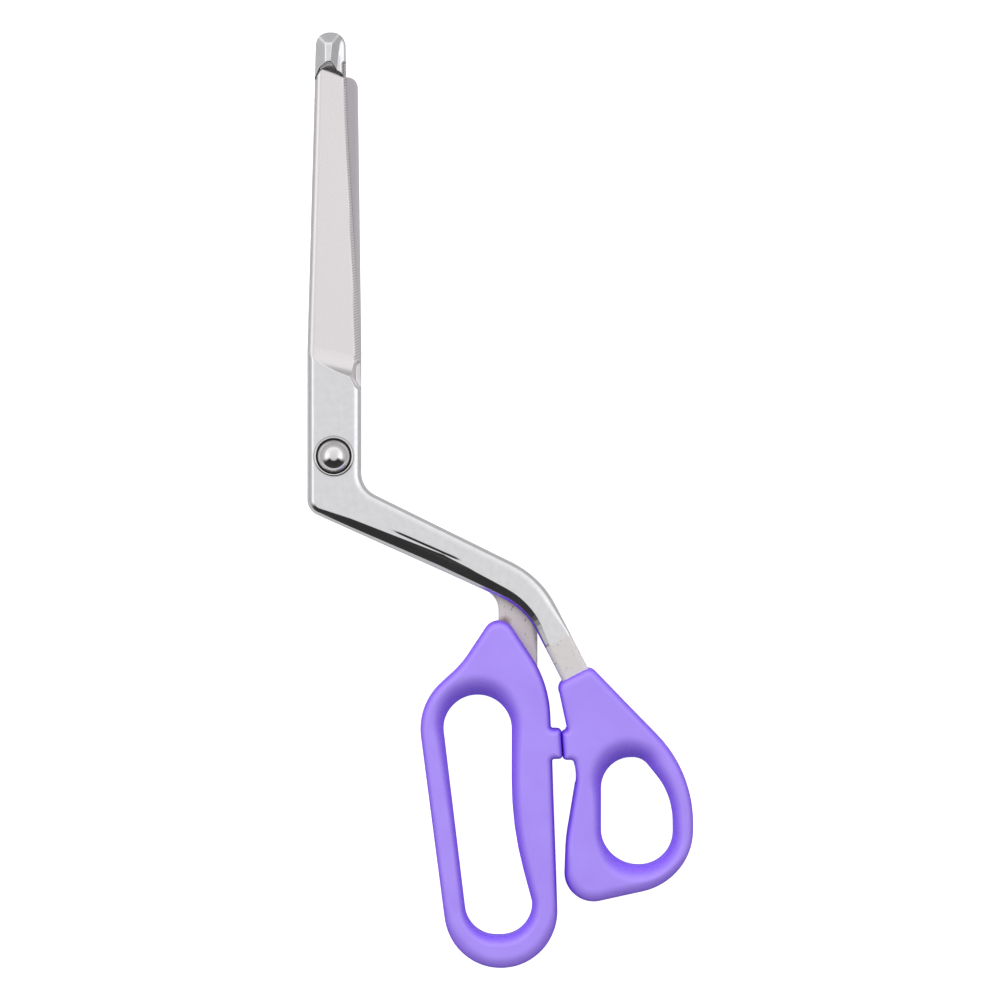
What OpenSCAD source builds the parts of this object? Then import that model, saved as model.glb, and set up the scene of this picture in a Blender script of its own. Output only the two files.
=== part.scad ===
// Fabric shears with long bent arms: two forged steel blades that turn on a bolt, and two
// moulded handles. They lie flat: +Y runs to the tip, +Z up from the table that they rest on.

/* [Blades] */
// Length of the front blade, from the pivot to its bead tip
blade_len = 137.6; // [110:0.2:180]
// How much shorter the rear blade is
rear_shorter = 14.4; // [10:0.2:24]
// Width of each blade at the pivot
heel_w = 17.4; // [14:0.1:24]
// Width of the bead at the tip
tip_w = 9.6; // [7:0.1:12]
// Length of the bead, which keeps the full thickness
tip_bead = 10.4; // [7:0.1:16]
// Sideways place of the bead's middle
tip_shift = -1.1; // [-2:0.1:0]
// Thickness of each forging
forged_t = 4; // [3:0.1:6]
// Length of the full-width heel, from the pivot to the start of the taper
heel_len = 34; // [24:0.5:45]
// Length from the pivot to the lower end of the cutting edge
edge_start = 24; // [18:0.5:30]
// Thickness of the blade at its cutting edge, before the bevel
edge_t = 0.8; // [0.6:0.1:1.6]
// Slope of the ground face across the blade, in degrees
grind_angle = 7; // [5:0.5:9]
// Width of the bevel along the cutting edge
bevel_w = 1.6; // [1:0.1:2.4]
// Radius on the outer long edges of the forgings
forged_round = 1.8; // [1:0.1:2.4]
// Gap between the two flat inner faces
blade_gap = 0.3; // [0.2:0.05:0.6]

/* [Arms] */
// Distance from the pivot down to the elbow
elbow_drop = 13.8; // [10:0.2:20]
// Slope of the arms below level, in degrees
arm_angle = 25.2; // [15:0.2:35]
// Length of the front arm, from the elbow to its bend
arm_len = 71.3; // [50:0.1:90]
// How much earlier the rear arm bends
arm_stagger = 5.4; // [4:0.1:8]
// Width of the arms at the elbow
arm_w_start = 14; // [12:0.1:18]
// Width of the arms at the bend
arm_w_end = 11.6; // [10:0.1:14]
// Slope of the front tang, in degrees
front_tang_angle = 62.8; // [55:0.2:70]
// Width of the front tang
front_tang_w = 8.8; // [7:0.1:11]
// Width of the rear tang, which points straight down
rear_tang_w = 12.1; // [10:0.1:14]
// Thickness of the tangs
tang_t = 3.2; // [2:0.1:4]
// Length of the front arm past its bend, before the bare tang
front_polish = 18; // [10:0.5:22]
// Length of the rear arm past its bend, before the bare tang
rear_polish = 9.5; // [9:0.5:11]
// Length of tang that each handle holds
tang_grip = 21; // [12:0.5:24]

/* [Pivot] */
// Diameter of the bolt's shank
shank_d = 6; // [4:0.1:8]
// Diameter of the dome head
head_d = 10.2; // [8:0.1:12]
// Height of the dome
dome_h = 2.6; // [1.6:0.1:3.4]
// Height of the straight rim under the dome
rim_h = 0.7; // [0.4:0.1:1.2]
// Diameter of the washer under the head
head_washer_d = 13.4; // [12.4:0.1:16]
// Thickness of the washer under the head
head_washer_t = 1; // [0.8:0.1:1.6]
// Depth of the seat that the head sinks into
head_seat = 0.4; // [0.2:0.1:0.6]
// Thickness of the washer between the blades
blade_washer_t = 0.7; // [0.6:0.05:1]
// Diameter of the washer between the blades
blade_washer_d = 13; // [9:0.1:13.4]
// Thickness of the spring washer
spring_washer_t = 0.5; // [0.3:0.1:0.8]
// Diameter of the spring washer
spring_washer_d = 11.6; // [9:0.1:14]
// Thickness of the nut
nut_t = 2.3; // [1.8:0.1:3.5]
// Width of the nut across its flats
nut_flats = 10; // [9:0.1:13]
// Running clearance on radius between the shank and what turns on it
shank_clear = 0.05; // [0.02:0.01:0.1]
// Running clearance between faces that slide on each other at the pivot
face_clear = 0.05; // [0.02:0.01:0.1]

/* [Handles] */
// Thickness of both handles
handle_t = 13; // [12:0.2:18]
// Radius on the handles' edges
handle_round = 2.4; // [1.5:0.1:3]
// Width of the finger opening
finger_w = 22.4; // [20:0.2:28]
// Length of the finger opening
finger_l = 78.2; // [70:0.5:95]
// Width of the finger handle's outer limb
finger_limb = 7.1; // [6:0.1:10]
// Width of the finger handle's foot
finger_foot = 10.3; // [8:0.1:13]
// Width of the thumb opening
thumb_w = 23.6; // [21:0.2:28]
// Length of the thumb opening
thumb_l = 35.1; // [31:0.1:42]
// Width of the thumb handle's outer limb
thumb_limb = 6.2; // [5:0.1:9]
// Width of the thumb handle's foot
thumb_foot = 10; // [8:0.1:13]
// Gap that the stop lugs leave when the shears are shut
stop_gap = 0.45; // [0.3:0.05:0.8]
// How far the stop lugs lie below the handle's two faces
stop_inset = 0.7; // [0.5:0.1:3]
// Length of the stop lugs
stop_l = 9.4; // [6:0.2:12]

/* [Hidden] */

$fn = 96;
// About how many degrees one straight stretch of a rounded corner stands for
arc_step = 9;
// How far a cutter runs past the face that it opens
beyond = 1;
// Small sizes that the fits share
seat_clear = 0.05;
head_gap = 0.6;
bolt_end_z = 0.4;
keen_t = 0.15;
// Run-outs of the ground face: slopes in degrees, radii, and where the heel scoop bottoms out
heel_rise = 21;
heel_scoop_r = 16;
heel_scoop_at = 5.5;
tip_scoop_r = 6;
bead_clear = 5;
past_tip = 12;
// How much wider each side of an arm is than its tang
tang_shoulder = 0.3;
grind_skew = 13;

// Heights above the table
rear_bottom = nut_t + spring_washer_t;
rear_top = rear_bottom + forged_t;
front_bottom = rear_top + blade_gap;
front_top = front_bottom + forged_t;
head_washer_z = front_top + face_clear;
head_z = head_washer_z + head_washer_t - head_seat;
washer_seat_z = front_bottom - face_clear - blade_washer_t;

// Angles are counted as slopes below level, so they run clockwise
function heading(slope) = [cos(slope), -sin(slope)];
function unit(v) = v / norm(v);
function right_of(v) = [v[1], -v[0]];
function flat(corner) = [corner[0], corner[1]];
function turned(v, a) = [v[0] * cos(a) - v[1] * sin(a), v[0] * sin(a) + v[1] * cos(a)];

// Crossing of the line a-b with the line c-d
function meet(a, b, c, d) = a + (b - a) * cross(c - a, d - c) / cross(b - a, d - c);

// The arc that rounds the corner at, on the way from before to after
function corner_arc(before, at, after, radius) =
    let (
        u = unit(before - at),
        v = unit(after - at),
        half = acos(u * v) / 2,
        centre = at + unit(u + v) * radius / sin(half),
        start = at + u * radius / tan(half) - centre,
        turn = sign(cross(-u, v)) * (180 - 2 * half),
        steps = max(1, round(abs(turn) / arc_step))
    )
    [for (i = [0 : steps]) centre + turned(start, turn * i / steps)];

// Outline through corners [x, y, radius], given anticlockwise
function rounded(corners) =
    let (n = len(corners))
    [for (i = [0 : n - 1])
        each corner_arc(flat(corners[(i + n - 1) % n]), flat(corners[i]),
            flat(corners[(i + 1) % n]), corners[i][2])];

// The same corners with every side moved outwards by d, which also changes the radii
function parallel(corners, d) =
    let (n = len(corners))
    [for (i = [0 : n - 1])
        let (
            a = flat(corners[(i + n - 1) % n]),
            b = flat(corners[i]),
            c = flat(corners[(i + 1) % n]),
            p = right_of(unit(b - a)) * d,
            q = right_of(unit(c - b)) * d,
            corner = meet(a + p, b + p, b + q, c + q)
        )
        [corner[0], corner[1], corners[i][2] + sign(cross(b - a, c - b)) * d]];

// Corners moved by v
function moved(corners, v) = [for (c = corners) [c[0] + v[0], c[1] + v[1], c[2]]];

// Corners on the other side of the Y axis, still anticlockwise
function mirrored(corners) = [for (c = reversed(corners)) [-c[0], c[1], c[2]]];

// Solid through the outlines of corners, stacked at levels [height, outward shift]
module stacked(corners, levels) {
    rings = [for (level = levels) rounded(parallel(corners, level[1]))];
    n = len(rings[0]);
    m = len(levels);
    points = [for (k = [0 : m - 1]) for (p = rings[k]) [p[0], p[1], levels[k][0]]];
    sides = [for (k = [0 : m - 2]) for (i = [0 : n - 1])
        [k * n + i, (k + 1) * n + i, (k + 1) * n + (i + 1) % n, k * n + (i + 1) % n]];
    bottom = [for (i = [0 : n - 1]) i];
    top = [for (i = [n - 1 : -1 : 0]) (m - 1) * n + i];
    polyhedron(points, concat([bottom], sides, [top]));
}

// Levels of an edge of radius r: from the face at z to the side, towards into (1 up, -1 down)
function edge_levels(z, r, into) =
    [for (a = [90 : -30 : 0]) [z + into * r * (1 - sin(a)), -r * (1 - cos(a))]];
function reversed(list) = [for (i = [len(list) - 1 : -1 : 0]) list[i]];

// ---- plan of the two forgings, with the pivot at the origin ----

elbow = [0, -elbow_drop];
arm_way = heading(arm_angle);
front_bend = elbow + arm_len * arm_way;
rear_bend = elbow + (arm_len - arm_stagger) * arm_way;

// The arm's long sides, each as two points: side is 1 for the lower, -1 for the upper
function arm_side(side) = [
    elbow + side * right_of(arm_way) * arm_w_start / 2,
    front_bend + side * right_of(arm_way) * arm_w_end / 2
];
// A long side, of width w, of what leaves start along way
function tang_side(start, way, w, side) = [
    start + side * right_of(way) * w / 2,
    start + side * right_of(way) * w / 2 + way
];
lower = arm_side(1);
upper = arm_side(-1);

spine_x = heel_w / 2;
front_way = heading(front_tang_angle);
rear_way = heading(90);
front_end_w = front_tang_w + 2 * tang_shoulder;
rear_end_w = rear_tang_w + 2 * tang_shoulder;
front_left = tang_side(front_bend, front_way, front_end_w, 1);
front_right = tang_side(front_bend, front_way, front_end_w, -1);
rear_left = tang_side(rear_bend, rear_way, rear_end_w, 1);
rear_right = tang_side(rear_bend, rear_way, rear_end_w, -1);

function with_radius(p, r) = [p[0], p[1], r];
function corner_of(line, other, r) = with_radius(meet(line[0], line[1], other[0], other[1]), r);

elbow_outer_r = 5.5;
elbow_inner_r = 8;
bend_inner_r = 24;
bend_outer_r = 31;
heel_left = [[-spine_x, 0], [-spine_x, -1]];
heel_right = [[spine_x, 0], [spine_x, -1]];

// Height at which the cutting edge has its belly
belly_y = 48;

front_plan = [
    [tip_shift - tip_w / 2, blade_len, tip_w * 0.48],
    [-spine_x, heel_len, 60],
    corner_of(heel_left, lower, elbow_outer_r),
    corner_of(lower, front_left, bend_inner_r),
    with_radius(front_left[0] + front_way * front_polish, 2.5),
    with_radius(front_right[0] + front_way * front_polish, 4.5),
    corner_of(upper, front_right, bend_outer_r),
    corner_of(heel_right, upper, elbow_inner_r),
    [spine_x, edge_start - 2, 20],
    [spine_x - 1, belly_y, 500],
    [tip_shift + tip_w / 2 + 0.2, blade_len - 26, 300],
    [tip_shift + tip_w / 2, blade_len, tip_w * 0.48]
];

// The rear blade's spine is on the right, and its edge hides under the front blade
rear_tip_y = blade_len - rear_shorter;
rear_tip_right = 7.6;
rear_tip_w = 9.8;
rear_plan = [
    [rear_tip_right - rear_tip_w, rear_tip_y, 2],
    [-spine_x, edge_start, 20],
    corner_of(heel_left, lower, elbow_outer_r),
    corner_of(lower, rear_left, 6),
    with_radius(rear_left[0] + rear_way * rear_polish, 2),
    with_radius(rear_right[0] + rear_way * rear_polish, 2),
    corner_of(upper, rear_right, 14),
    corner_of(heel_right, upper, elbow_inner_r),
    [spine_x, heel_len, 60],
    [rear_tip_right, rear_tip_y, 3.4]
];

// Bare tangs, from inside the arm to their end in the handle
front_handle_from = 29.5;
rear_handle_from = 12;
function tang_plan(start, way, w, from, to) = let (side = right_of(way)) [
    with_radius(start + way * from - side * w / 2, 0.5),
    with_radius(start + way * from + side * w / 2, 0.5),
    with_radius(start + way * to + side * w / 2, 2),
    with_radius(start + way * to - side * w / 2, 2)
];
front_tang_plan = tang_plan(front_bend, front_way, front_tang_w,
    front_polish - 8, front_handle_from + tang_grip);
rear_tang_plan = tang_plan(rear_bend, rear_way, rear_tang_w,
    rear_polish - 6, rear_handle_from + tang_grip);

// ---- plan of the handles ----

// The finger handle hangs from the rear bend, and its opening grows to the left and down
finger_right = -2;
finger_top = -35.6;
finger_foot_y = finger_top - finger_l;
finger_hole = moved([
    [finger_right - finger_w - 1.2, finger_top, finger_w * 0.49],
    [finger_right - finger_w + 8.3, finger_foot_y, finger_w * 0.45],
    [finger_right + 6.7, finger_foot_y, finger_w * 0.45],
    [finger_right + 6.6, finger_foot_y + finger_w / 2, 5],
    [finger_right - 0.1, finger_foot_y + 35.8, 60],
    [finger_right, finger_top, finger_w * 0.49]
], rear_bend);
finger_outer_x = finger_right - finger_w - finger_limb;
finger_end_y = finger_foot_y - finger_foot;
finger_foot_w = finger_right + 15.2 - (finger_outer_x + 10);
finger_plan = moved([
    [-6.2, -7.4, 5.2],
    [-18.4, -25.9, 30],
    [finger_outer_x - 1.1, finger_top - 3.3, 20],
    [finger_outer_x + 10, finger_end_y, finger_foot_w * 0.52],
    [finger_right + 15.2, finger_end_y, finger_foot_w * 0.52],
    [finger_right + 11.8, finger_top + 3.8, 40]
], rear_bend);

// The thumb handle hangs from the front bend, and its opening grows to the right and down
thumb_left = 22;
thumb_top = -53.6;
thumb_foot_y = thumb_top - thumb_l;
thumb_right = thumb_left + thumb_w;
thumb_hole = moved([
    [thumb_left + 0.1, thumb_top, thumb_w * 0.42],
    [thumb_left, thumb_foot_y, thumb_w * 0.52],
    [thumb_right, thumb_foot_y, thumb_w * 0.46],
    [thumb_right - 0.1, thumb_top - thumb_w / 2 - 0.7, thumb_w + 1],
    [thumb_left + thumb_w / 2 + 1.6, thumb_top, 6]
], front_bend);
thumb_plan = moved([
    [7.9, -29.6, 3.2],
    [14.2, -60, 15],
    [10.9, thumb_foot_y + 8.7, 40],
    [10, thumb_foot_y - thumb_foot - 3.9, 9.2],
    [thumb_right + thumb_limb, thumb_foot_y - thumb_foot + 5.3, thumb_foot + 10.5],
    [thumb_right + thumb_limb, thumb_top - 4.8, (thumb_l - 18.6) * 2.5],
    [18.7, -24, 3.2]
], front_bend);

// Stop lugs: the two faces lie on either side of one line
stop_at = rear_bend + [14.4, -51.4];
stop_way = unit([0.09, -1]);
// Lug that reaches root from the stop line: side 1 is left of it, -1 is right
function lug_plan(side, root) = let (
        out = right_of(stop_way) * side,
        face = stop_at + out * stop_gap / 2,
        half = stop_way * stop_l / 2,
        ends = side > 0
            ? [face - half, face + out * root - half, face + out * root + half, face + half]
            : [face + half, face + out * root + half, face + out * root - half, face - half]
    )
    [for (p = ends) with_radius(p, 0.7)];

// ---- where the pivot goes: the whole outline is centred on the origin ----

reach = concat(rounded(front_plan), rounded(rear_plan), rounded(finger_plan),
    rounded(thumb_plan));
xs = [for (p = reach) p[0]];
ys = [for (p = reach) p[1]];
pivot_at = -[(min(xs) + max(xs)) / 2, (min(ys) + max(ys)) / 2, 0];

// ---- steel ----

// Line of each cutting edge, from the heel to the tip, with the blade's spine on its left
front_edge = [[spine_x - 0.4, edge_start], [tip_shift + tip_w / 2, blade_len - tip_bead]];
rear_edge = [[spine_x - 0.4, edge_start], [rear_tip_w - rear_tip_right, rear_tip_y]];

function edge_run(edge) = norm(edge[1] - edge[0]);

// Places a cutter whose Y axis is the edge line and whose Z = 0 is the flat inner face
module along_edge(edge) {
    run = edge[1] - edge[0];
    translate([edge[0][0], edge[0][1], 0])
        rotate([0, 0, -atan2(run[0], run[1])])
            children();
}

// The metal above the ground face, which rises from the edge towards the spine and ends in a
// long scoop at the heel and a short one at the bead
module ground_away(edge, run, tip_rise) {
    high = forged_t * 2;
    profile = rounded([
        [heel_scoop_at, edge_t, heel_scoop_r],
        [run, edge_t, tip_scoop_r],
        [run + high / tan(tip_rise), edge_t + high, 1],
        [heel_scoop_at - high / tan(heel_rise), edge_t + high, 1]
    ]);
    along_edge(edge)
        rotate([0, grind_angle, 0])
            rotate([0, 0, -grind_skew])
                translate([-4 * heel_w, 0, 0])
                    rotate([90, 0, 90])
                        linear_extrude(6 * heel_w)
                            polygon(profile);
}

// The metal outside the bevel along the edge
module bevel_away(edge, run) {
    along_edge(edge)
        translate([0, 0, keen_t])
            rotate([0, atan2(edge_t, bevel_w), 0])
                translate([-2 * bevel_w - 1, 0, 0])
                    cube([4 * bevel_w + 2, run, 2 * forged_t]);
}

// Plate of one forging: flat inner face at z = 0, and outer edges eased in steps at the top,
// each step between two points of the rounding
module forged_plate(plan) {
    eased = concat([[0, 0]], reversed(edge_levels(forged_t, forged_round, -1)));
    for (k = [1 : len(eased) - 1]) {
        low = k == 1 ? 0 : eased[k - 1][0] - forged_round / 4;
        translate([0, 0, low])
            linear_extrude(eased[k][0] - low)
                polygon(rounded(parallel(plan, (eased[k - 1][1] + eased[k][1]) / 2)));
    }
}

module front_tang() {
    translate([0, 0, front_bottom])
        linear_extrude(tang_t) polygon(rounded(front_tang_plan));
}

module rear_tang() {
    translate([0, 0, rear_top - tang_t])
        linear_extrude(tang_t) polygon(rounded(rear_tang_plan));
}

// The front forging without its bore
module front_forging() {
    translate([0, 0, front_bottom]) difference() {
        forged_plate(front_plan);
        ground_away(front_edge, edge_run(front_edge) - bead_clear, 40);
        bevel_away(front_edge, edge_run(front_edge));
    }
    front_tang();
}

// The rear forging is made like the front one, and turned over
module rear_forging() {
    translate([0, 0, rear_top]) rotate([0, 180, 0]) difference() {
        forged_plate(mirrored(rear_plan));
        ground_away(rear_edge, edge_run(rear_edge) + past_tip, 60);
        bevel_away(rear_edge, edge_run(rear_edge) + past_tip);
    }
    rear_tang();
}

// ---- nodes ----

module front_blade() {
    color("gainsboro") translate(pivot_at) difference() {
        front_forging();
        translate([0, 0, front_bottom - beyond])
            cylinder(r = shank_d / 2 + shank_clear, h = forged_t + 2 * beyond);
    }
}

module rear_blade() {
    color("silver") translate(pivot_at) difference() {
        rear_forging();
        translate([0, 0, rear_bottom - beyond])
            cylinder(r = shank_d / 2 + shank_clear, h = forged_t + 2 * beyond);
        translate([0, 0, washer_seat_z])
            cylinder(d = blade_washer_d + 2 * seat_clear, h = forged_t);
    }
}

// Flat ring from z upwards
module ring(outer_d, thickness, z) {
    translate([0, 0, z]) difference() {
        cylinder(d = outer_d, h = thickness);
        translate([0, 0, -beyond])
            cylinder(r = shank_d / 2 + shank_clear, h = thickness + 2 * beyond);
    }
}

// Shank up from the nut, a straight rim in the washer's seat, and a dome over it
module pivot_bolt() {
    dome_r = (pow(head_d / 2, 2) + pow(dome_h, 2)) / (2 * dome_h);
    dome_a = asin(head_d / 2 / dome_r);
    dome_z = head_z + rim_h + dome_h - dome_r;
    color("lightgray") translate(pivot_at) rotate_extrude()
        polygon(concat(
            [[0, bolt_end_z], [shank_d / 2, bolt_end_z], [shank_d / 2, head_z],
                [head_d / 2, head_z]],
            [for (i = [0 : 12])
                let (a = dome_a * (1 - i / 12))
                [dome_r * sin(a), dome_z + dome_r * cos(a)]]
        ));
}

module head_washer() {
    color("whitesmoke") translate(pivot_at) difference() {
        ring(head_washer_d, head_washer_t, head_washer_z);
        translate([0, 0, head_z])
            cylinder(d = head_d + 2 * head_gap, h = head_washer_t);
    }
}

module blade_washer() {
    color("darkgray") translate(pivot_at)
        ring(blade_washer_d, blade_washer_t, washer_seat_z);
}

module spring_washer() {
    color("dimgray") translate(pivot_at) ring(spring_washer_d, spring_washer_t, nut_t);
}

// Hexagon with its corners taken off by a cone, threaded onto the shank
module pivot_nut() {
    corner_r = nut_flats / 2 / cos(30);
    color("silver") translate(pivot_at) difference() {
        intersection() {
            cylinder(r = corner_r, h = nut_t, $fn = 6);
            cylinder(r1 = nut_flats / 2, r2 = nut_flats / 2 + 1.7 * nut_t, h = nut_t);
        }
        translate([0, 0, -beyond]) cylinder(d = shank_d, h = nut_t + 2 * beyond);
    }
}

// A handle: its outline with rounded edges, less its opening with the same rounding
module loop_handle(plan, hole) {
    edge = edge_levels(0, handle_round, 1);
    far_edge = reversed(edge_levels(handle_t, handle_round, -1));
    difference() {
        stacked(plan, concat(edge, far_edge));
        stacked(hole, [for (level = concat(edge, far_edge)) [
            level[0] == 0 ? -0.01 : level[0] == handle_t ? handle_t + 0.01 : level[0],
            -level[1]]]);
    }
}

module lug(side, root) {
    translate([0, 0, stop_inset]) linear_extrude(handle_t - 2 * stop_inset)
        polygon(rounded(lug_plan(side, root)));
}

module thumb_handle() {
    color("mediumpurple") translate(pivot_at) difference() {
        union() {
            loop_handle(thumb_plan, thumb_hole);
            lug(-1, 6);
        }
        front_tang();
    }
}

module finger_handle() {
    color("mediumpurple") translate(pivot_at) difference() {
        union() {
            loop_handle(finger_plan, finger_hole);
            lug(1, 6);
        }
        rear_tang();
    }
}

front_blade();
rear_blade();
pivot_bolt();
head_washer();
blade_washer();
spring_washer();
pivot_nut();
thumb_handle();
finger_handle();
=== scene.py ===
import math

import bpy
import numpy as np
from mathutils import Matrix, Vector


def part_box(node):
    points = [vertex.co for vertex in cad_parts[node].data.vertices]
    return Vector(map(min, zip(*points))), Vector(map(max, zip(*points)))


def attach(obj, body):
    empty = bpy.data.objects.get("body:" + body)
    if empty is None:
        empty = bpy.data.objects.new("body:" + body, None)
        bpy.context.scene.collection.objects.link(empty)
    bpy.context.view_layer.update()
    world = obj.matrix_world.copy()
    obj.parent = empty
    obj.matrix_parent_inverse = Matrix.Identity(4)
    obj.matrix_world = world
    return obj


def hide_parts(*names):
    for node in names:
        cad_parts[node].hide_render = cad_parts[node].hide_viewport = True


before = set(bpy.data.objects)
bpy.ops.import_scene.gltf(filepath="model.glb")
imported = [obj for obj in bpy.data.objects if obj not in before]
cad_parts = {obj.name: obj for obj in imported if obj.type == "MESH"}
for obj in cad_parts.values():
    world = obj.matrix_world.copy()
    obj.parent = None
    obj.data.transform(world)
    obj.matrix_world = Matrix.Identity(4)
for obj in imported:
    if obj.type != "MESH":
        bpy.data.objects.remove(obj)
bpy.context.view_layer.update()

# Fabric shears that lie flat, +Y to the tip. Lengths below are millimetres, as in a workshop
# drawing, and turn into metres only where a mesh or a light is made.
MM = 0.001
bolt_low, bolt_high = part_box("pivot_bolt")
PIVOT = np.array([bolt_low.x + bolt_high.x, bolt_low.y + bolt_high.y]) / 2 / MM

REAR_TOP = 6.8
FRONT_BOTTOM = 7.1
FORGED_T = 4.0
HANDLE_T = 13.0

# Half width of both blades at the pivot, and the heights on Y of the two tips
BLADE_HALF_W = 8.7
FRONT_TIP = 137.6
REAR_TIP = 123.2


# ---------------------------------------------------------------- plane geometry

def heading(slope):
    """Unit vector that slopes down from +X by the angle, in degrees."""
    return np.array([math.cos(math.radians(slope)), -math.sin(math.radians(slope))])


def right_of(v):
    """The vector turned a quarter turn clockwise."""
    return np.array([v[1], -v[0]])


def meet(a, u, c, v):
    """Crossing of the line through a along u with the line through c along v."""
    s = ((c - a)[0] * v[1] - (c - a)[1] * v[0]) / (u[0] * v[1] - u[1] * v[0])
    return a + u * s


def corner_arc(before, at, after, radius, step=4.0):
    """Points of the circular arc that is tangent to both legs of the corner."""
    u = (before - at) / np.linalg.norm(before - at)
    v = (after - at) / np.linalg.norm(after - at)
    half = math.acos(float(np.clip(u @ v, -1, 1))) / 2
    centre = at + (u + v) / np.linalg.norm(u + v) * radius / math.sin(half)
    start = at + u * radius / math.tan(half) - centre
    turn = np.sign(-u[0] * v[1] + u[1] * v[0]) * (math.pi - 2 * half)
    count = max(2, int(math.ceil(abs(math.degrees(turn)) / step)))
    t = np.linspace(0, turn, count + 1)
    return centre + np.stack([start[0] * np.cos(t) - start[1] * np.sin(t),
                              start[0] * np.sin(t) + start[1] * np.cos(t)], 1)


def rounded(corners, closed):
    """Polyline of straight stretches and corner arcs; a corner is x, y, radius."""
    c = [np.array(k[:2], float) for k in corners]
    n = len(c)
    parts = []
    for i, k in enumerate(corners):
        if not closed and i in (0, n - 1):
            parts.append(c[i][None, :])
        else:
            parts.append(corner_arc(c[i - 1], c[i], c[(i + 1) % n], k[2]))
    line = np.concatenate(parts)
    return np.concatenate([line, line[:1]]) if closed else line


def lengths(line):
    """Distance along the polyline at each of its points."""
    return np.concatenate([[0], np.cumsum(np.linalg.norm(np.diff(line, axis=0), axis=1))])


def at_length(line, s):
    """Points of the polyline at the given distances along it."""
    along = lengths(line)
    return np.stack([np.interp(s, along, line[:, 0]), np.interp(s, along, line[:, 1])], 1)


def nearest(points, line):
    """Distance from each point to the polyline, and how far along it the nearest place is."""
    a, d = line[:-1], np.diff(line, axis=0)
    long = np.maximum((d * d).sum(1), 1e-12)
    along = lengths(line)
    gap = np.full(len(points), 1e9)
    where = np.zeros(len(points))
    for k in range(0, len(points), 20000):
        p = points[k:k + 20000, None, :] - a[None]
        t = np.clip((p * d[None]).sum(2) / long, 0, 1)
        away = np.linalg.norm(p - t[..., None] * d[None], axis=2)
        best = away.argmin(1)
        row = np.arange(len(best))
        gap[k:k + 20000] = away[row, best]
        where[k:k + 20000] = along[best] + t[row, best] * np.sqrt(long[best])
    return gap, where


def ramp(x, low, high):
    """0 below low, 1 above high, and a smooth cubic between them."""
    t = np.clip((x - low) / (high - low), 0, 1)
    return t * t * (3 - 2 * t)


def soft_min(a, b, k):
    """The lower of two surfaces, blended over the height k where they cross."""
    h = np.clip(0.5 + 0.5 * (b - a) / k, 0, 1)
    return b * (1 - h) + a * h - k * h * (1 - h)


# ---------------------------------------------------------------- meshes

def sheet_of_quads(rows, columns, rows_closed):
    """Corner numbers of the quads of a grid whose columns always close into a ring."""
    r = np.arange(rows if rows_closed else rows - 1)[:, None]
    c = np.arange(columns)[None, :]
    r2, c2 = (r + 1) % rows, (c + 1) % columns
    return np.stack([r * columns + c, r * columns + c2, r2 * columns + c2, r2 * columns + c],
                    2).reshape(-1, 4)


def solid(name, grid, rows_closed, masks=None):
    """Closed mesh through a grid of rings in millimetres; open ends get a flat cap each."""
    rows, columns = grid.shape[:2]
    points = grid.reshape(-1, 3)
    quads = sheet_of_quads(rows, columns, rows_closed)
    p = points[quads]
    volume = np.einsum("ij,ij->i", p[:, 0], np.cross(p[:, 1], p[:, 2])
                       + np.cross(p[:, 2], p[:, 3])).sum()
    if volume < 0:
        quads = quads[:, ::-1]
    faces = quads.tolist()
    if not rows_closed:
        ends = [np.arange(columns), np.arange(columns) + (rows - 1) * columns]
        faces += [ends[0][::-1].tolist() if volume >= 0 else ends[0].tolist(),
                  ends[1].tolist() if volume >= 0 else ends[1][::-1].tolist()]
    mesh = bpy.data.meshes.new(name)
    mesh.from_pydata((points * MM).tolist(), [], faces)
    mesh.polygons.foreach_set("use_smooth", np.ones(len(faces), bool))
    if not rows_closed:
        mesh.polygons[len(faces) - 1].use_smooth = False
        mesh.polygons[len(faces) - 2].use_smooth = False
    for key, value in (masks or {}).items():
        layer = mesh.attributes.new(key, "FLOAT", "POINT")
        layer.data.foreach_set("value", value.reshape(-1).astype(np.float32))
    mesh.update()
    piece = bpy.data.objects.new(name, mesh)
    bpy.context.scene.collection.objects.link(piece)
    return piece


def turned_solid(name, profile, centre, around=160):
    """Solid of revolution: a closed profile of radius and height, carried round the axis."""
    a = np.linspace(0, 2 * math.pi, around, endpoint=False)[:, None]
    r, z = profile[:, 0][None, :], profile[:, 1][None, :]
    grid = np.stack([centre[0] + r * np.cos(a), centre[1] + r * np.sin(a),
                     np.broadcast_to(z, (around, len(profile)))], 2)
    return solid(name, grid, True)


# ---------------------------------------------------------------- plan of the forgings

ELBOW = np.array([0, -13.8])
ARM_WAY = heading(25.2)
ARM_LEN = 71.3
# Half widths of the arm at its two ends, and the lengths of the two tangs
ELBOW_HALF_W = 7.0
BEND_HALF_W = 5.8
FRONT_TANG = 42
REAR_TANG = 33
FRONT_BEND = ELBOW + ARM_LEN * ARM_WAY
REAR_BEND = ELBOW + (ARM_LEN - 5.4) * ARM_WAY
FRONT_WAY = heading(62.8)
REAR_WAY = heading(90)
DOWN = np.array([0.0, -1.0])
LOWER = ELBOW + right_of(ARM_WAY) * ELBOW_HALF_W
LOWER_WAY = FRONT_BEND + right_of(ARM_WAY) * BEND_HALF_W - LOWER
UPPER = ELBOW - right_of(ARM_WAY) * ELBOW_HALF_W
UPPER_WAY = FRONT_BEND - right_of(ARM_WAY) * BEND_HALF_W - UPPER
FRONT_HALF_W = 4.7
REAR_HALF_W = 6.35


def corner(p, radius):
    """A corner of an outline: x, y, radius."""
    return [p[0], p[1], radius]


def bend_corner(side, side_way, start, way, half, radius):
    """Where a long side of the arm meets the side of what leaves it along way."""
    return corner(meet(side, side_way, start + right_of(way) * half, way), radius)


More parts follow.
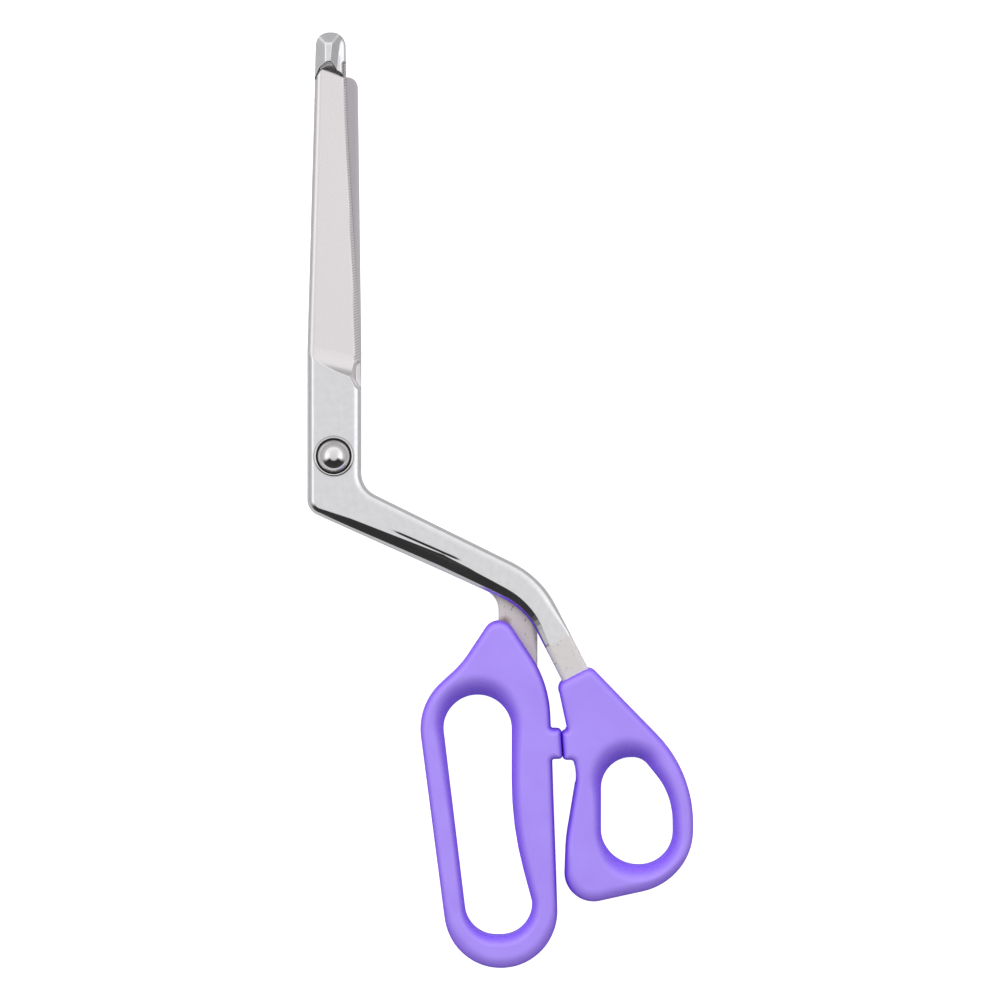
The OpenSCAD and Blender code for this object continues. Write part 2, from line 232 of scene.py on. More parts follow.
front_left = rounded([
    [-1.4, FRONT_TIP, 0], [-5.9, FRONT_TIP, 4.5], [-BLADE_HALF_W, 34, 60],
    corner(meet(np.array([-BLADE_HALF_W, 0]), DOWN, LOWER, LOWER_WAY), 5.5),
    bend_corner(LOWER, LOWER_WAY, FRONT_BEND, FRONT_WAY, FRONT_HALF_W, 24),
    corner(FRONT_BEND + right_of(FRONT_WAY) * FRONT_HALF_W
           + FRONT_WAY * FRONT_TANG, 0)], False)
front_right = rounded([
    [-0.8, FRONT_TIP, 0], [3.7, FRONT_TIP, 4.5], [3.95, 111.6, 300], [7.7, 48, 500],
    [BLADE_HALF_W, 22, 20],
    corner(meet(np.array([BLADE_HALF_W, 0]), DOWN, UPPER, UPPER_WAY), 8),
    bend_corner(UPPER, UPPER_WAY, FRONT_BEND, FRONT_WAY, -FRONT_HALF_W, 31),
    corner(FRONT_BEND - right_of(FRONT_WAY) * FRONT_HALF_W
           + FRONT_WAY * FRONT_TANG, 0)], False)
rear_left = rounded([
    [2.4, REAR_TIP, 0], [-2.2, REAR_TIP, 2], [-BLADE_HALF_W, 24, 20],
    corner(meet(np.array([-BLADE_HALF_W, 0]), DOWN, LOWER, LOWER_WAY), 5.5),
    bend_corner(LOWER, LOWER_WAY, REAR_BEND, REAR_WAY, REAR_HALF_W, 7),
    corner(REAR_BEND + right_of(REAR_WAY) * REAR_HALF_W
           + REAR_WAY * REAR_TANG, 0)], False)
rear_right = rounded([
    [2.8, REAR_TIP, 0], [7.6, REAR_TIP, 3.4], [BLADE_HALF_W, 34, 60],
    corner(meet(np.array([BLADE_HALF_W, 0]), DOWN, UPPER, UPPER_WAY), 8),
    bend_corner(UPPER, UPPER_WAY, REAR_BEND, REAR_WAY, -REAR_HALF_W, 14),
    corner(REAR_BEND - right_of(REAR_WAY) * REAR_HALF_W
           + REAR_WAY * REAR_TANG, 0)], False)


def matched_rows(left, right, marks, spacing):
    """Pairs of points on the two long sides. The marks are places near both sides where a
    row has to lie, and between two marks both sides are walked evenly."""
    left_at = np.concatenate([[0], nearest(marks, left)[1], [lengths(left)[-1]]])
    right_at = np.concatenate([[0], nearest(marks, right)[1], [lengths(right)[-1]]])
    s, t = [], []
    for k in range(len(left_at) - 1):
        stretch = max(left_at[k + 1] - left_at[k], right_at[k + 1] - right_at[k])
        share = np.linspace(0, 1, max(2, int(stretch / spacing)), endpoint=False)
        s.append(left_at[k] + share * (left_at[k + 1] - left_at[k]))
        t.append(right_at[k] + share * (right_at[k + 1] - right_at[k]))
    s = np.concatenate(s + [left_at[-1:]])
    t = np.concatenate(t + [right_at[-1:]])
    return at_length(left, s), at_length(right, t)


def strip_drop(gap, wide, first, bend, last):
    """How far an edge strip lies below the face: its slope grows from first at the inner line,
    by bend in proportion to the way out, and by last very near the rim."""
    q = np.clip(1 - gap / wide, 0, 1)
    return wide * (first * q + bend * q ** 2 / 2 + last * q ** 7 / 7)


def broad_drop(gap, wide):
    """Drop of the arm's lower side: a flat at about 20 degrees, then a steep narrow one."""
    q = np.clip(1 - gap / wide, 0, 1)
    past = q - 0.7
    steep = np.where(past < 0, 0, np.where(past < 0.06, past ** 2 / 0.12, past - 0.03))
    return wide * (0.34 * q + 0.05 * q ** 2 + 0.75 * steep)


def run_out(s, reach, height):
    """Rise of a grinding wheel's scoop at s past its line: a squared-off quarter ellipse."""
    q = np.clip(s / reach, 0, 1)
    rise = height * (1 - (1 - q ** 2.6) ** (1 / 2.6))
    return np.where(s > reach, 20.0, rise)


# Slope of the cutting bevels, the thinnest that a forging gets, and the height on Y below which
# the cutting sides have a plain rounded strip
BEVEL_SLOPE = 0.42
LEAST_T = 0.12
PLAIN_TO = 24.5
# The grinding wheel runs out at the heel over this length, and rises this far
HEEL_RUN = 7.3
HEEL_RISE = 4.2
REAR_BEVEL_W = 1.3
REAR_BEVEL_TOP = 0.7
# Shallow ripples that the buffing left along the arm: begin, end, depth
RIPPLES = (((15.0, -22.2), (43.6, -34.8), 0.3), ((20.0, -26.3), (46.5, -37.8), 0.26))


def cutting_edge(side, top):
    """The stretch of a long side that is ground to an edge, up to top, every 0.5 mm."""
    fine = at_length(side, np.arange(0, lengths(side)[-1], 0.5))
    return fine[(fine[:, 1] > 23) & (fine[:, 1] < top)]


def spine_drop(gap, wide=2.1):
    """Drop of the narrow strip along a spine."""
    return strip_drop(gap, wide, 0.3, 0.8, 1.0)


def front_left_drop(gap, at, total):
    """Drop of the strip along the spine and the arm's lower side, where it widens into a
    broad rounding past the elbow and narrows again toward the tang."""
    elbow = nearest(np.array([[-7.6, -19.5]]), front_left)[1][0]
    wide = np.interp(at, [0, elbow, elbow + 12, elbow + 44, elbow + 62, total - 34,
                          total - 25, total], [2.1, 2.2, 3.5, 5.1, 3.9, 2.6, 1.7, 1.2])
    low = ramp(at, elbow, elbow + 14)
    return spine_drop(gap, wide) * (1 - low) + broad_drop(gap, wide) * low


def bead_height(x, y, rim):
    """Bead at the tip: a ridge crowned as a parabola of x, cut by two facets and a sloping end,
    over a low skirt that rises a little with the distance from the rim."""
    ridge = 4.05 - 0.07 * (x + 1.6) ** 2
    ridge = soft_min(ridge, 4.0 - 0.66 * (-2.7 - x), 0.12)
    ridge = soft_min(ridge, 3.78 - 1.0 * (x + 0.2) - 0.09 * (136 - y), 0.12)
    ridge = soft_min(ridge, 4.0 - 0.62 * (y - 133.6), 0.5)
    skirt_z = np.where(x < -1.6, 1.75, 0.95)
    skirt = skirt_z + 0.3 * np.clip(rim, 0, 2.2) - strip_drop(rim, 0.9, 0.1, 0.5, 1.5)
    return -soft_min(-ridge, -skirt, 0.15)


def ripple_depth(p, begin, end, deep):
    """A step down across the line from begin to end, which fades in and out along it."""
    begin, run = np.array(begin), np.array(end) - np.array(begin)
    share = (p - begin) @ run / (run @ run)
    aside = (p - begin) @ right_of(run) / np.linalg.norm(run)
    return deep * ramp(aside, -0.55, 0.55) * ramp(share, 0, 0.3) * (1 - ramp(share, 0.8, 1))


def finishes(forged, ground, bevel, height, bevel_share, bare):
    """Shares of each finish: ground or bevelled where that surface is the lowest one."""
    return {
        "ground": 1 - ramp(ground - forged, -0.06, 0.06),
        "bevel": (1 - ramp(bevel - height, -0.02, 0.02)) * bevel_share,
        "bare": bare,
        "inner": np.zeros(len(height)),
    }


def front_heights(p):
    """Height of the front forging's outer side over its flat inner side, and its finishes: the
    lowest of the forged skin, the ground face and the cutting bevel."""
    x, y = p[:, 0], p[:, 1]
    gap_l, at_l = nearest(p, front_left)
    total_l = lengths(front_left)[-1]
    plain = front_right[front_right[:, 1] < PLAIN_TO]
    gap_e, _ = nearest(p, cutting_edge(front_right, 134))
    gap_r, at_r = nearest(p, plain)
    total_r = lengths(plain)[-1]

    drop_l = front_left_drop(gap_l, at_l, total_l)
    wide_r = np.interp(at_r, [0, total_r - 36, total_r - 26, total_r], [2.6, 2.9, 1.2, 1.0])
    drop_r = strip_drop(gap_r, wide_r, 0.12, 0.62, 1.2)
    rim = np.minimum(gap_l, nearest(p, front_right)[0])
    to_bead = ramp(y, 112, 118)
    forged = (FORGED_T - drop_l - drop_r) * (1 - to_bead) + bead_height(x, y, rim) * to_bead
    for begin, end, deep in RIPPLES:
        forged = forged - ripple_depth(p, begin, end, deep)

    # Cutting bevel, and the ground face that rises from it to the spine
    bevel_w = np.interp(y, [24, 39.6, 63.7, 83.9, 104, 115.7, 123.8],
                        [2.0, 1.5, 1.2, 0.9, 0.75, 0.75, 0.8])
    rise = 0.15 + BEVEL_SLOPE * bevel_w
    heel_s = (p - np.array([-7.15, 35.8])) @ np.array([-0.221, -0.975])
    face = rise + 0.195 * (gap_e - bevel_w) - spine_drop(gap_l)
    # The bevel is steeper at both of its ends, where it climbs out of the scoops
    steeper = 1.4 * ramp(y, 119, 123) + 1.6 * ramp(heel_s, 1, 6)
    bevel = rise + (BEVEL_SLOPE + steeper) * (gap_e - bevel_w)
    # The scoop under the bead ends in an arch, highest under the bead's ridge
    arch = 128.5 - np.where(x < -1, 0.21, 0.33) * (x + 1) ** 2
    scoop_from = np.minimum(124.3 - 0.36 * (x + 1), arch - 0.6)
    tip_s = np.clip(y - scoop_from, 0, 6)
    ground = (face + run_out(heel_s, HEEL_RUN, HEEL_RISE) + 0.05 * np.clip(heel_s, 0, HEEL_RUN)
              + run_out(tip_s, arch - scoop_from, 3.6) + 0.5 * tip_s ** 2 / (tip_s + 0.4))
    notch = 25.5 - 0.73 * (x - 5.85) - y
    bevel = bevel + np.maximum(0, notch) * 1.6 + np.maximum(0, y - 127.8) * 3

    height = soft_min(forged, ground, 0.16)
    bare = ramp(at_l, total_l - 24.4, total_l - 24) * ramp(at_l, total_l - 60, total_l - 50)
    masks = finishes(forged, ground, bevel, height, 1 - ramp(heel_s, 0.5, 3), bare)
    return np.maximum(np.minimum(height, bevel), LEAST_T), masks


def rear_heights(p):
    """The same for the rear forging, whose outer side faces the table."""
    y = p[:, 1]
    gap_r, _ = nearest(p, rear_right)
    gap_l, _ = nearest(p, rear_left[rear_left[:, 1] < PLAIN_TO])
    gap_e, _ = nearest(p, cutting_edge(rear_left, 122))
    forged = FORGED_T - strip_drop(gap_l, 2.4, 0.3, 0.7, 1.2) - spine_drop(gap_r, 2.2)
    face = REAR_BEVEL_TOP + 0.22 * (gap_e - REAR_BEVEL_W) - spine_drop(gap_r)
    bevel = REAR_BEVEL_TOP + BEVEL_SLOPE * (gap_e - REAR_BEVEL_W)
    heel_s = (p - np.array([7.15, 35.4])) @ np.array([0.221, -0.975])
    ground = face + run_out(heel_s, HEEL_RUN, HEEL_RISE)
    bevel = bevel + np.maximum(0, 24.6 - y) * 3
    height = soft_min(forged, ground, 0.1)
    bare = 1 - ramp(y, REAR_BEND[1] + 6, REAR_BEND[1] + 9)
    return (np.maximum(np.minimum(height, bevel), LEAST_T),
            finishes(forged, ground, bevel, height, 1.0, bare))


RIM_STEPS = np.array([0, 0.04, 0.13, 0.28, 0.48, 0.72, 1.0, 1.35, 1.75, 2.2])
FACE_COLUMNS = 46
INNER_COLUMNS = 8


def forging(name, left, right, marks, heights, upwards, base_z, ease, spacing):
    """Ring by ring from tip to tang: across the outer side from left to right, down the right
    wall, back across the flat inner side and up the left wall. Columns crowd near both rims."""
    lo, hi = matched_rows(left, right, marks, spacing)
    width = np.linalg.norm(hi - lo, axis=1)
    way = (hi - lo) / width[:, None]
    near = RIM_STEPS[None, :] * np.minimum(1, width / 5.6)[:, None]
    share = np.linspace(0, 1, FACE_COLUMNS + 2)[None, 1:-1]
    middle = near[:, -1:] + share * (width[:, None] - 2 * near[:, -1:])
    out = np.concatenate([near, middle, width[:, None] - near[:, ::-1]], 1)
    flat = (lo[:, None] + out[..., None] * way[:, None]).reshape(-1, 2)
    z, masks = heights(flat)
    rows = len(lo)
    z = z.reshape(rows, -1)
    masks = {k: v.reshape(rows, -1) for k, v in masks.items()}

    eased = np.minimum(ease, 0.4 * np.minimum(z[:, 0], z[:, -1]))[:, None]
    share = np.linspace(0, 1, INNER_COLUMNS)[None]
    back = width[:, None] - eased - share * (width[:, None] - 2 * eased)
    none = np.zeros((rows, 1))
    out = np.concatenate([out, width[:, None] + none, width[:, None] + none,
                          width[:, None] + none, back, none, none, none], 1)
    right_z, left_z = z[:, -1:], z[:, :1]
    up = np.concatenate([z, (2 * right_z + eased) / 3, (right_z + 2 * eased) / 3, eased,
                         np.zeros((rows, INNER_COLUMNS)), eased, (left_z + 2 * eased) / 3,
                         (2 * left_z + eased) / 3], 1)
    flat = lo[:, None] + out[..., None] * way[:, None] + PIVOT
    high = base_z + up if upwards else base_z - up
    extra = out.shape[1] - z.shape[1]
    for key, value in masks.items():
        rest = np.repeat(value[:, -1:], extra, 1) if key == "bare" else np.zeros((rows, extra))
        if key == "inner":
            rest[:, 3:3 + INNER_COLUMNS] = 1
        masks[key] = np.concatenate([value, rest], 1)
    return solid(name, np.concatenate([flat, high[..., None]], 2), False, masks)


front_marks = np.array([[-1.1, 132.5], [-1.6, 122.8], [0, 34], [0, 24.0], [0, 0],
                        ELBOW, ELBOW + 20 * ARM_WAY, ELBOW + 50 * ARM_WAY, FRONT_BEND,
                        FRONT_BEND + 18 * FRONT_WAY])
rear_marks = np.array([[2.6, 119.5], [0, 34], [0, 0], ELBOW, ELBOW + 20 * ARM_WAY,
                       ELBOW + 50 * ARM_WAY, REAR_BEND])
front_forging = forging("front_blade_forging", front_left, front_right, front_marks,
                        front_heights, True, FRONT_BOTTOM, 0.25, 0.3)
rear_forging = forging("rear_blade_forging", rear_left, rear_right, rear_marks,
                       rear_heights, False, REAR_TOP, 0.45, 0.5)


# ---------------------------------------------------------------- pivot

def arc_points(centre, radius, start, end, count):
    """Points of an arc in the profile plane, angles in degrees."""
    a = np.radians(np.linspace(start, end, count))
    return np.stack([centre[0] + radius * np.cos(a), centre[1] + radius * np.sin(a)], 1)


def bolt_profile():
    """Shank, underside of the head, rolled rim, then the dome as a circular arc to the axis."""
    head_z, top_z, head_r = 11.75, 15.05, 5.08
    rim = arc_points((head_r - 0.5, head_z + 0.5), 0.5, -90, 20, 10)
    x0, z0 = rim[-1]
    tall = top_z - z0
    radius = (x0 ** 2 + tall ** 2) / (2 * tall)
    start = math.degrees(math.atan2(z0 - (top_z - radius), x0))
    dome = arc_points((0, top_z - radius), radius, start, 90, 60)
    dome[-1, 0] = 0.02
    shank = np.array([[0.02, 0.4], [2.8, 0.4], [3.0, 0.6], [3.0, head_z - 0.02],
                      [3.05, head_z]])
    return np.concatenate([shank, rim, dome])


def collar_profile():
    """Collar under the dome: coned outside, and with a groove 0.6 mm wide between its lip and
    the dome; every outer edge is an arc."""
    outer, low, shoulder = 6.7, 11.15, 11.7
    lip, top, groove_z, seat_z = 5.7, 12.15, 11.3, 11.72
    return np.concatenate([
        arc_points((outer - 0.2, low + 0.2), 0.2, -90, 0, 4),
        arc_points((outer - 0.15, shoulder - 0.15), 0.15, 0, 62, 4),
        arc_points((lip + 0.35, top - 0.35), 0.35, 62, 180, 12),
        np.array([[lip, 11.4], [5.6, groove_z], [5.0, groove_z], [4.9, 11.4], [4.9, seat_z],
                  [3.1, seat_z], [3.06, 11.68], [3.06, low]])])


bolt = turned_solid("domed_bolt", bolt_profile(), PIVOT)
collar = turned_solid("dome_collar", collar_profile(), PIVOT)


# ---------------------------------------------------------------- handles

FINGER_OUTLINE = [
    [-6.2, -7.4, 5.2], [-18.4, -25.9, 30], [-32.6, -38.9, 20], [-21.5, -124.1, 18.0],
    [13.2, -124.1, 18.0], [9.8, -31.8, 37]]
FINGER_TAB = [[10.85, -56.15, 1.1], [14.4, -56.15, 1.0], [13.8, -46.6, 1.0],
              [10.45, -46.6, 1.1]]
FINGER_OPENING = [
    [-25.6, -35.6, 11], [-16.1, -113.8, 10.1], [4.7, -113.8, 10.1], [4.6, -102.6, 5],
    [-2.1, -78, 110], [-2, -35.6, 11]]
THUMB_OUTLINE = [
    [7.9, -29.6, 3.2], [14.2, -60, 15], [10.9, -80, 40], [10, -102.6, 9.2],
    [51.8, -93.4, 20.5], [51.8, -58.4, 41], [18.7, -24, 3.2]]
THUMB_TAB = [[11.2, -45.0, 1.1], [9.35, -45.0, 0.9], [10.0, -54.2, 0.9], [13.2, -54.2, 1.3]]
THUMB_OPENING = [
    [22.1, -53.6, 9.9], [22, -88.7, 12.3], [45.6, -88.7, 10.9], [45.5, -66.1, 24.6],
    [35.4, -53.6, 6]]

HANDLE_RIM = np.array([0, 0.05, 0.17, 0.36, 0.6, 0.9, 1.25, 1.65, 2.1, 2.6])
HANDLE_FACE = 34
HANDLE_BACK = 8
# A handle's rounding grows over this many millimetres of Y toward its foot; in a limb narrower
# than the next value the columns at the rims crowd closer; the last is the rounding underneath
FOOT_BLEND = 14
SLIM_LIMB = 6.2
BACK_ROUND = 2.2


def with_tab(outline, tab, after):
    """The outline with the stop tab's corners put in after the given corner."""
    return outline[:after + 1] + tab + outline[after + 1:]


def loop_rows(outer, base, inner, spacing):
    """Rows from the outline over the plain outline without its tab to the opening. Each plain
    place goes with the opening's nearest one, evened out along the way, so that rows fan and
    never cross; a place on the tab uses the row of the plain place behind it."""
    count = 1600
    around = lengths(inner)[-1]
    total = lengths(base)[-1]
    steps = np.arange(count + 1) / count
    t = nearest(at_length(base, steps * total), inner)[1]
    turns = np.unwrap(t / around * 2 * math.pi) / (2 * math.pi) * around
    drift = steps * around
    offset = np.maximum.accumulate(turns)[:-1] - drift[:-1]
    window = 81
    bell = np.hanning(window) / np.hanning(window).sum()
    padded = np.concatenate([offset[-window:], offset, offset[:window]])
    smooth = np.convolve(padded, bell, "same")[window:-window]
    turns = np.concatenate([smooth, smooth[:1]]) + drift

    fine = np.linspace(0, lengths(outer)[-1], 6000)
    plain = nearest(at_length(outer, fine), base)[1]
    plain = np.unwrap(plain / total * 2 * math.pi) / (2 * math.pi) * total
    plain = np.maximum.accumulate(plain)
    hole = np.interp(plain % total, steps * total, turns) + np.floor(plain / total) * around
    work = np.concatenate([[0], np.cumsum(np.maximum(
        np.diff(fine), np.abs(np.diff(hole))))])
    at = np.linspace(0, work[-1], int(work[-1] / spacing), endpoint=False)
    s = np.interp(at, work, fine)
    return (at_length(outer, s), at_length(base, np.interp(at, work, plain) % total),
            at_length(inner, np.interp(at, work, hole) % around))


def along_rows(first, knee, last, out):
    """Points at the distances out along each row, which runs first - knee - last."""
    one = np.linalg.norm(knee - first, axis=1)[:, None]
    two = np.linalg.norm(last - knee, axis=1)[:, None]
    way_one = (knee - first)[:, None] / np.maximum(one, 1e-6)[..., None]
    way_two = (last - knee)[:, None] / np.maximum(two, 1e-6)[..., None]
    # Where there is no tab, the first leg has no length and its direction is the second's
    way_one = np.where(one[..., None] < 0.02, way_two, way_one)
    return (first[:, None] + np.minimum(out, one)[..., None] * way_one
            + np.maximum(out - one, 0)[..., None] * way_two)


def scoop_width(inner, at, scoop, places):
    """Width of the scoop at distances along the opening: straight lines through the widths
    given at places, evened out by a running mean."""
    places = nearest(places, inner)[1]
    order = np.argsort(places)
    around = lengths(inner)[-1]
    widths = np.array(scoop)[order]
    places = places[order]
    knots = np.concatenate([places[-1:] - around, places, places[:1] + around])
    values = np.concatenate([widths[-1:], widths, widths[:1]])
    fine = np.linspace(0, around, 400)
    bowl = np.convolve(np.tile(np.interp(fine, knots, values), 3), np.ones(25) / 25, "same")
    return np.interp(at, fine, bowl[400:800])


def loop_handle(name, bend, plain, tab, after, opening, foot, scoop, scoop_at):
    """Ring by ring round the opening: across the face from the outline to the opening, down
    the opening's wall, back across the underside and up the outer wall. The face drops by a
    circular rounding at the outline and by a wider scoop at the opening, 0.08 q plus 0.8 q to
    the power 2.1 of its width, where q grows from 0 at the scoop's rim to 1 at the opening. The
    outer wall swells by up to 0.3 mm toward the parting line, near half height."""
    outer = rounded(with_tab(plain, tab, after), True) + bend
    base = rounded(plain, True) + bend
    inner = rounded(opening, True) + bend
    far, knee, hole = loop_rows(outer, base, inner, 0.36)
    width = np.linalg.norm(knee - far, axis=1) + np.linalg.norm(hole - knee, axis=1)
    near = HANDLE_RIM[None] * np.minimum(1, width / SLIM_LIMB)[:, None]
    share = np.linspace(0, 1, HANDLE_FACE + 2)[None, 1:-1]
    middle = near[:, -1:] + share * (width[:, None] - 2 * near[:, -1:])
    out = np.concatenate([near, middle, width[:, None] - near[:, ::-1]], 1)
    flat = along_rows(far, knee, hole, out).reshape(-1, 2)
    gap_o, _ = nearest(flat, outer)
    gap_i, at_i = nearest(flat, inner)

    wide = scoop_width(inner, at_i, scoop, np.array([k[:2] for k in scoop_at]) + bend)

    # The rounding of the outline grows from 2.3 to 4.3 mm round the foot
    r = 2.3 + 2.0 * ramp(bend[1] - flat[:, 1], foot, foot + FOOT_BLEND)
    rim = r - np.sqrt(np.maximum(r * r - np.clip(r - gap_o, 0, r) ** 2, 0))
    q = np.clip(1 - gap_i / wide, 0, 1)
    dip = wide * (0.08 * q + 0.8 * q ** 2.1)
    z = (HANDLE_T - rim * 0.95 - dip).reshape(len(far), -1)

    rows = len(far)
    back_r = np.array([0, 0.3, 0.9, 1.6, 2.4])
    back_z = BACK_ROUND - np.sqrt(np.maximum(
        BACK_ROUND ** 2 - np.clip(BACK_ROUND - back_r, 0, BACK_ROUND) ** 2, 0))
    tight = np.minimum(1, width / SLIM_LIMB)[:, None]
    share = np.linspace(0, 1, HANDLE_BACK)[None, 1:-1]
    left, right = back_r[None] * tight, width[:, None] - back_r[None, ::-1] * tight
    under = np.concatenate([left, left[:, -1:] + share * (right[:, :1] - left[:, -1:]), right],
                           1)[:, ::-1]
    under_z = np.concatenate([back_z, np.zeros(HANDLE_BACK - 2), back_z[::-1]])[None] * tight
    wall = np.array([0.2, 0.45, 0.75])[None]
    inner_wall = np.repeat(width[:, None], 3, 1)
    inner_z = z[:, -1:] + (under_z[:, :1] - z[:, -1:]) * wall
    swell = np.array([0.22, 0.3, 0.16])[None]
    outer_z = np.array([0.27, 0.6, 0.85])[None] * z[:, :1]
    out = np.concatenate([out, inner_wall, under, -swell + np.zeros((rows, 1))], 1)
    high = np.concatenate([z, inner_z, under_z + np.zeros((rows, 1)), outer_z], 1)
    flat = along_rows(far, knee, hole, out) + PIVOT
    return solid(name, np.concatenate([flat, high[..., None]], 2), True)


finger_loop = loop_handle("finger_loop", REAR_BEND, FINGER_OUTLINE, FINGER_TAB, 4,
                          FINGER_OPENING, 102,
                          [6.4, 7.6, 5.0, 4.0, 3.6, 3.0, 3.2, 2.2, 2.0, 3.4],
                          [(-20, -38.5), (-11, -35.6), (-4, -41), (-2, -52), (-2, -75),
                           (3.6, -104), (-7, -113.8), (-16, -106), (-20.5, -80), (-24, -48)])
thumb_loop = loop_handle("thumb_loop", FRONT_BEND, THUMB_OUTLINE, THUMB_TAB, 0,
                         THUMB_OPENING, 82,
                         [7.6, 6.4, 3.6, 3.0, 3.4, 5.4, 5.0, 4.2, 3.4, 4.6],
                         [(30, -53.6), (23.6, -57), (22, -66), (22, -76), (22.6, -83),
                          (27, -87.5), (35, -88.7), (43, -84), (45.7, -74), (40, -59.5)])


# ---------------------------------------------------------------- materials

def linear(code):
    """Linear colour of an sRGB hex value."""
    c = np.array([int(code[i:i + 2], 16) for i in (1, 3, 5)]) / 255
    c = np.where(c <= 0.04045, c / 12.92, ((c + 0.055) / 1.055) ** 2.4)
    return (*c.tolist(), 1.0)


def add(tree, kind, inputs=None, **settings):
    """A node with its settings; each input is a value, or a socket to link."""
    node = tree.nodes.new(kind)
    for key, value in settings.items():
        setattr(node, key, value)
    for key, value in (inputs or {}).items():
        if isinstance(value, bpy.types.NodeSocket):
            tree.links.new(value, node.inputs[key])
        else:
            node.inputs[key].default_value = value
    return node


def start(name):
    """Empty material with its tree, output and Object coordinates."""
    material = bpy.data.materials.new(name)
    material.use_nodes = True
    tree = material.node_tree
    tree.nodes.clear()
    return material, tree, add(tree, "ShaderNodeTexCoord").outputs["Object"]


def finish_with(tree, shader):
    """Links the shader to a material output."""
    add(tree, "ShaderNodeOutputMaterial", {"Surface": shader.outputs[0]})


def noise(tree, at, size, detail=2.0, stretch=(1, 1, 1), turn=0.0):
    """Noise whose blotches are about size millimetres, stretched along an axis if asked."""
    mapped = add(tree, "ShaderNodeMapping", {
        "Vector": at, "Rotation": (0, 0, math.radians(turn)),
        "Scale": tuple(1 / (size * MM * k) for k in stretch)})
    return add(tree, "ShaderNodeTexNoise", {
        "Vector": mapped.outputs[0], "Scale": 1.0, "Detail": detail}).outputs[0]


def spread(tree, value, low, high, to_low, to_high):
    """The value carried linearly from one range to another, and held at its ends."""
    return add(tree, "ShaderNodeMapRange", {
        "Value": value, "From Min": low, "From Max": high, "To Min": to_low,
        "To Max": to_high}).outputs[0]


def blend(tree, share, a, b, kind="FLOAT"):
    """Mix of two numbers or colours by a share."""
    node = add(tree, "ShaderNodeMix", data_type=kind)
    names = ("A", "B")
    sockets = [s for s in node.inputs if s.name in names and s.enabled]
    for socket, value in zip(sockets, (a, b)):
        if isinstance(value, bpy.types.NodeSocket):
            tree.links.new(value, socket)
        else:
            socket.default_value = value
    factor = [s for s in node.inputs if s.name == "Factor" and s.enabled][0]
    if isinstance(share, bpy.types.NodeSocket):
        tree.links.new(share, factor)
    else:
        factor.default_value = share
    return [s for s in node.outputs if s.enabled][0]


def forged_steel(name, polished, ground, inner_face, bare_face, stain):
    """Forged stainless steel: buffed on the outside, wheel-ground face, stoned inner face,
    blasted tang. The buffing leaves soft waves, the wheel leaves fine lines along its travel,
    and the tang keeps its grey, pitted skin."""
    material, tree, at = start(name)
    masks = {k: add(tree, "ShaderNodeAttribute", attribute_name=k).outputs["Fac"]
             for k in ("ground", "bevel", "bare", "inner")}
    waves = noise(tree, at, 9, 2)
    cloud = noise(tree, at, 2.2, 4)
    grain = noise(tree, at, 0.35, 3)
    # Wheel marks are 0.02 mm apart on the real face, and drawn at 0.3 mm so that they show
    lines = noise(tree, at, 0.3, 2, (1, 14, 1), 4)
    pits = noise(tree, at, 1.1, 1)
    # Serrations of the cutting bevel: slanted, 0.5 mm apart, and drawn at 0.8 mm to show
    hatch = add(tree, "ShaderNodeTexWave", {
        "Vector": add(tree, "ShaderNodeMapping", {
            "Vector": at, "Rotation": (0, 0, math.radians(62))}).outputs[0],
        "Scale": 0.314 / (0.8 * MM), "Distortion": 1.5}, wave_type="BANDS").outputs["Fac"]

    colour = blend(tree, spread(tree, cloud, 0.3, 0.7, 0, 1), linear(polished[0]),
                   linear(polished[1]), "RGBA")
    colour = blend(tree, masks["ground"], colour, blend(
        tree, lines, linear(ground[0]), linear(ground[1]), "RGBA"), "RGBA")
    colour = blend(tree, masks["bevel"], colour, blend(
        tree, hatch, linear("#8c8789"), linear("#b4afb0"), "RGBA"), "RGBA")
    colour = blend(tree, masks["inner"], colour, blend(
        tree, grain, linear(inner_face[0]), linear(inner_face[1]), "RGBA"), "RGBA")
    spots = spread(tree, pits, 0.27, 0.33, 0.35, 1)
    rough_skin = blend(tree, cloud, linear(bare_face[0]), linear(bare_face[1]), "RGBA")
    rough_skin = blend(tree, spots, linear("#6a6363"), rough_skin, "RGBA")
    colour = blend(tree, masks["bare"], colour, rough_skin, "RGBA")
    if stain is not None:
        # A brown smear of set glue where the tang enters the handle
        away = add(tree, "ShaderNodeVectorMath", {
            0: at, 1: tuple(stain)}, operation="DISTANCE").outputs["Value"]
        glue = spread(tree, away, 0.9 * MM, 2.6 * MM, 0.75, 0.0)
        colour = blend(tree, glue, colour, linear("#7a5a45"), "RGBA")

    roughness = spread(tree, waves, 0.3, 0.7, 0.10, 0.16)
    roughness = blend(tree, masks["ground"], roughness, spread(tree, lines, 0.2, 0.8, 0.24, 0.34))
    roughness = blend(tree, masks["bevel"], roughness, 0.3)
    roughness = blend(tree, masks["inner"], roughness, 0.42)
    roughness = blend(tree, masks["bare"], roughness, spread(tree, cloud, 0.3, 0.7, 0.42, 0.58))

    relief = blend(tree, masks["ground"], spread(tree, waves, 0, 1, 0, 6), spread(
        tree, lines, 0, 1, 0, 0.8))
    relief = blend(tree, masks["bevel"], relief, spread(tree, hatch, 0, 1, 0, 14))
    relief = blend(tree, masks["bare"], relief, spread(tree, cloud, 0, 1, 0, 9))
    # Heights above are micrometres
    bump = add(tree, "ShaderNodeBump", {"Height": relief, "Strength": 0.6, "Distance": 1e-6})
    finish_with(tree, add(tree, "ShaderNodeBsdfPrincipled", {
        "Base Color": colour, "Metallic": blend(tree, masks["bare"], 1.0, 0.45),
        "Roughness": roughness, "Normal": bump.outputs[0]}))
    return material


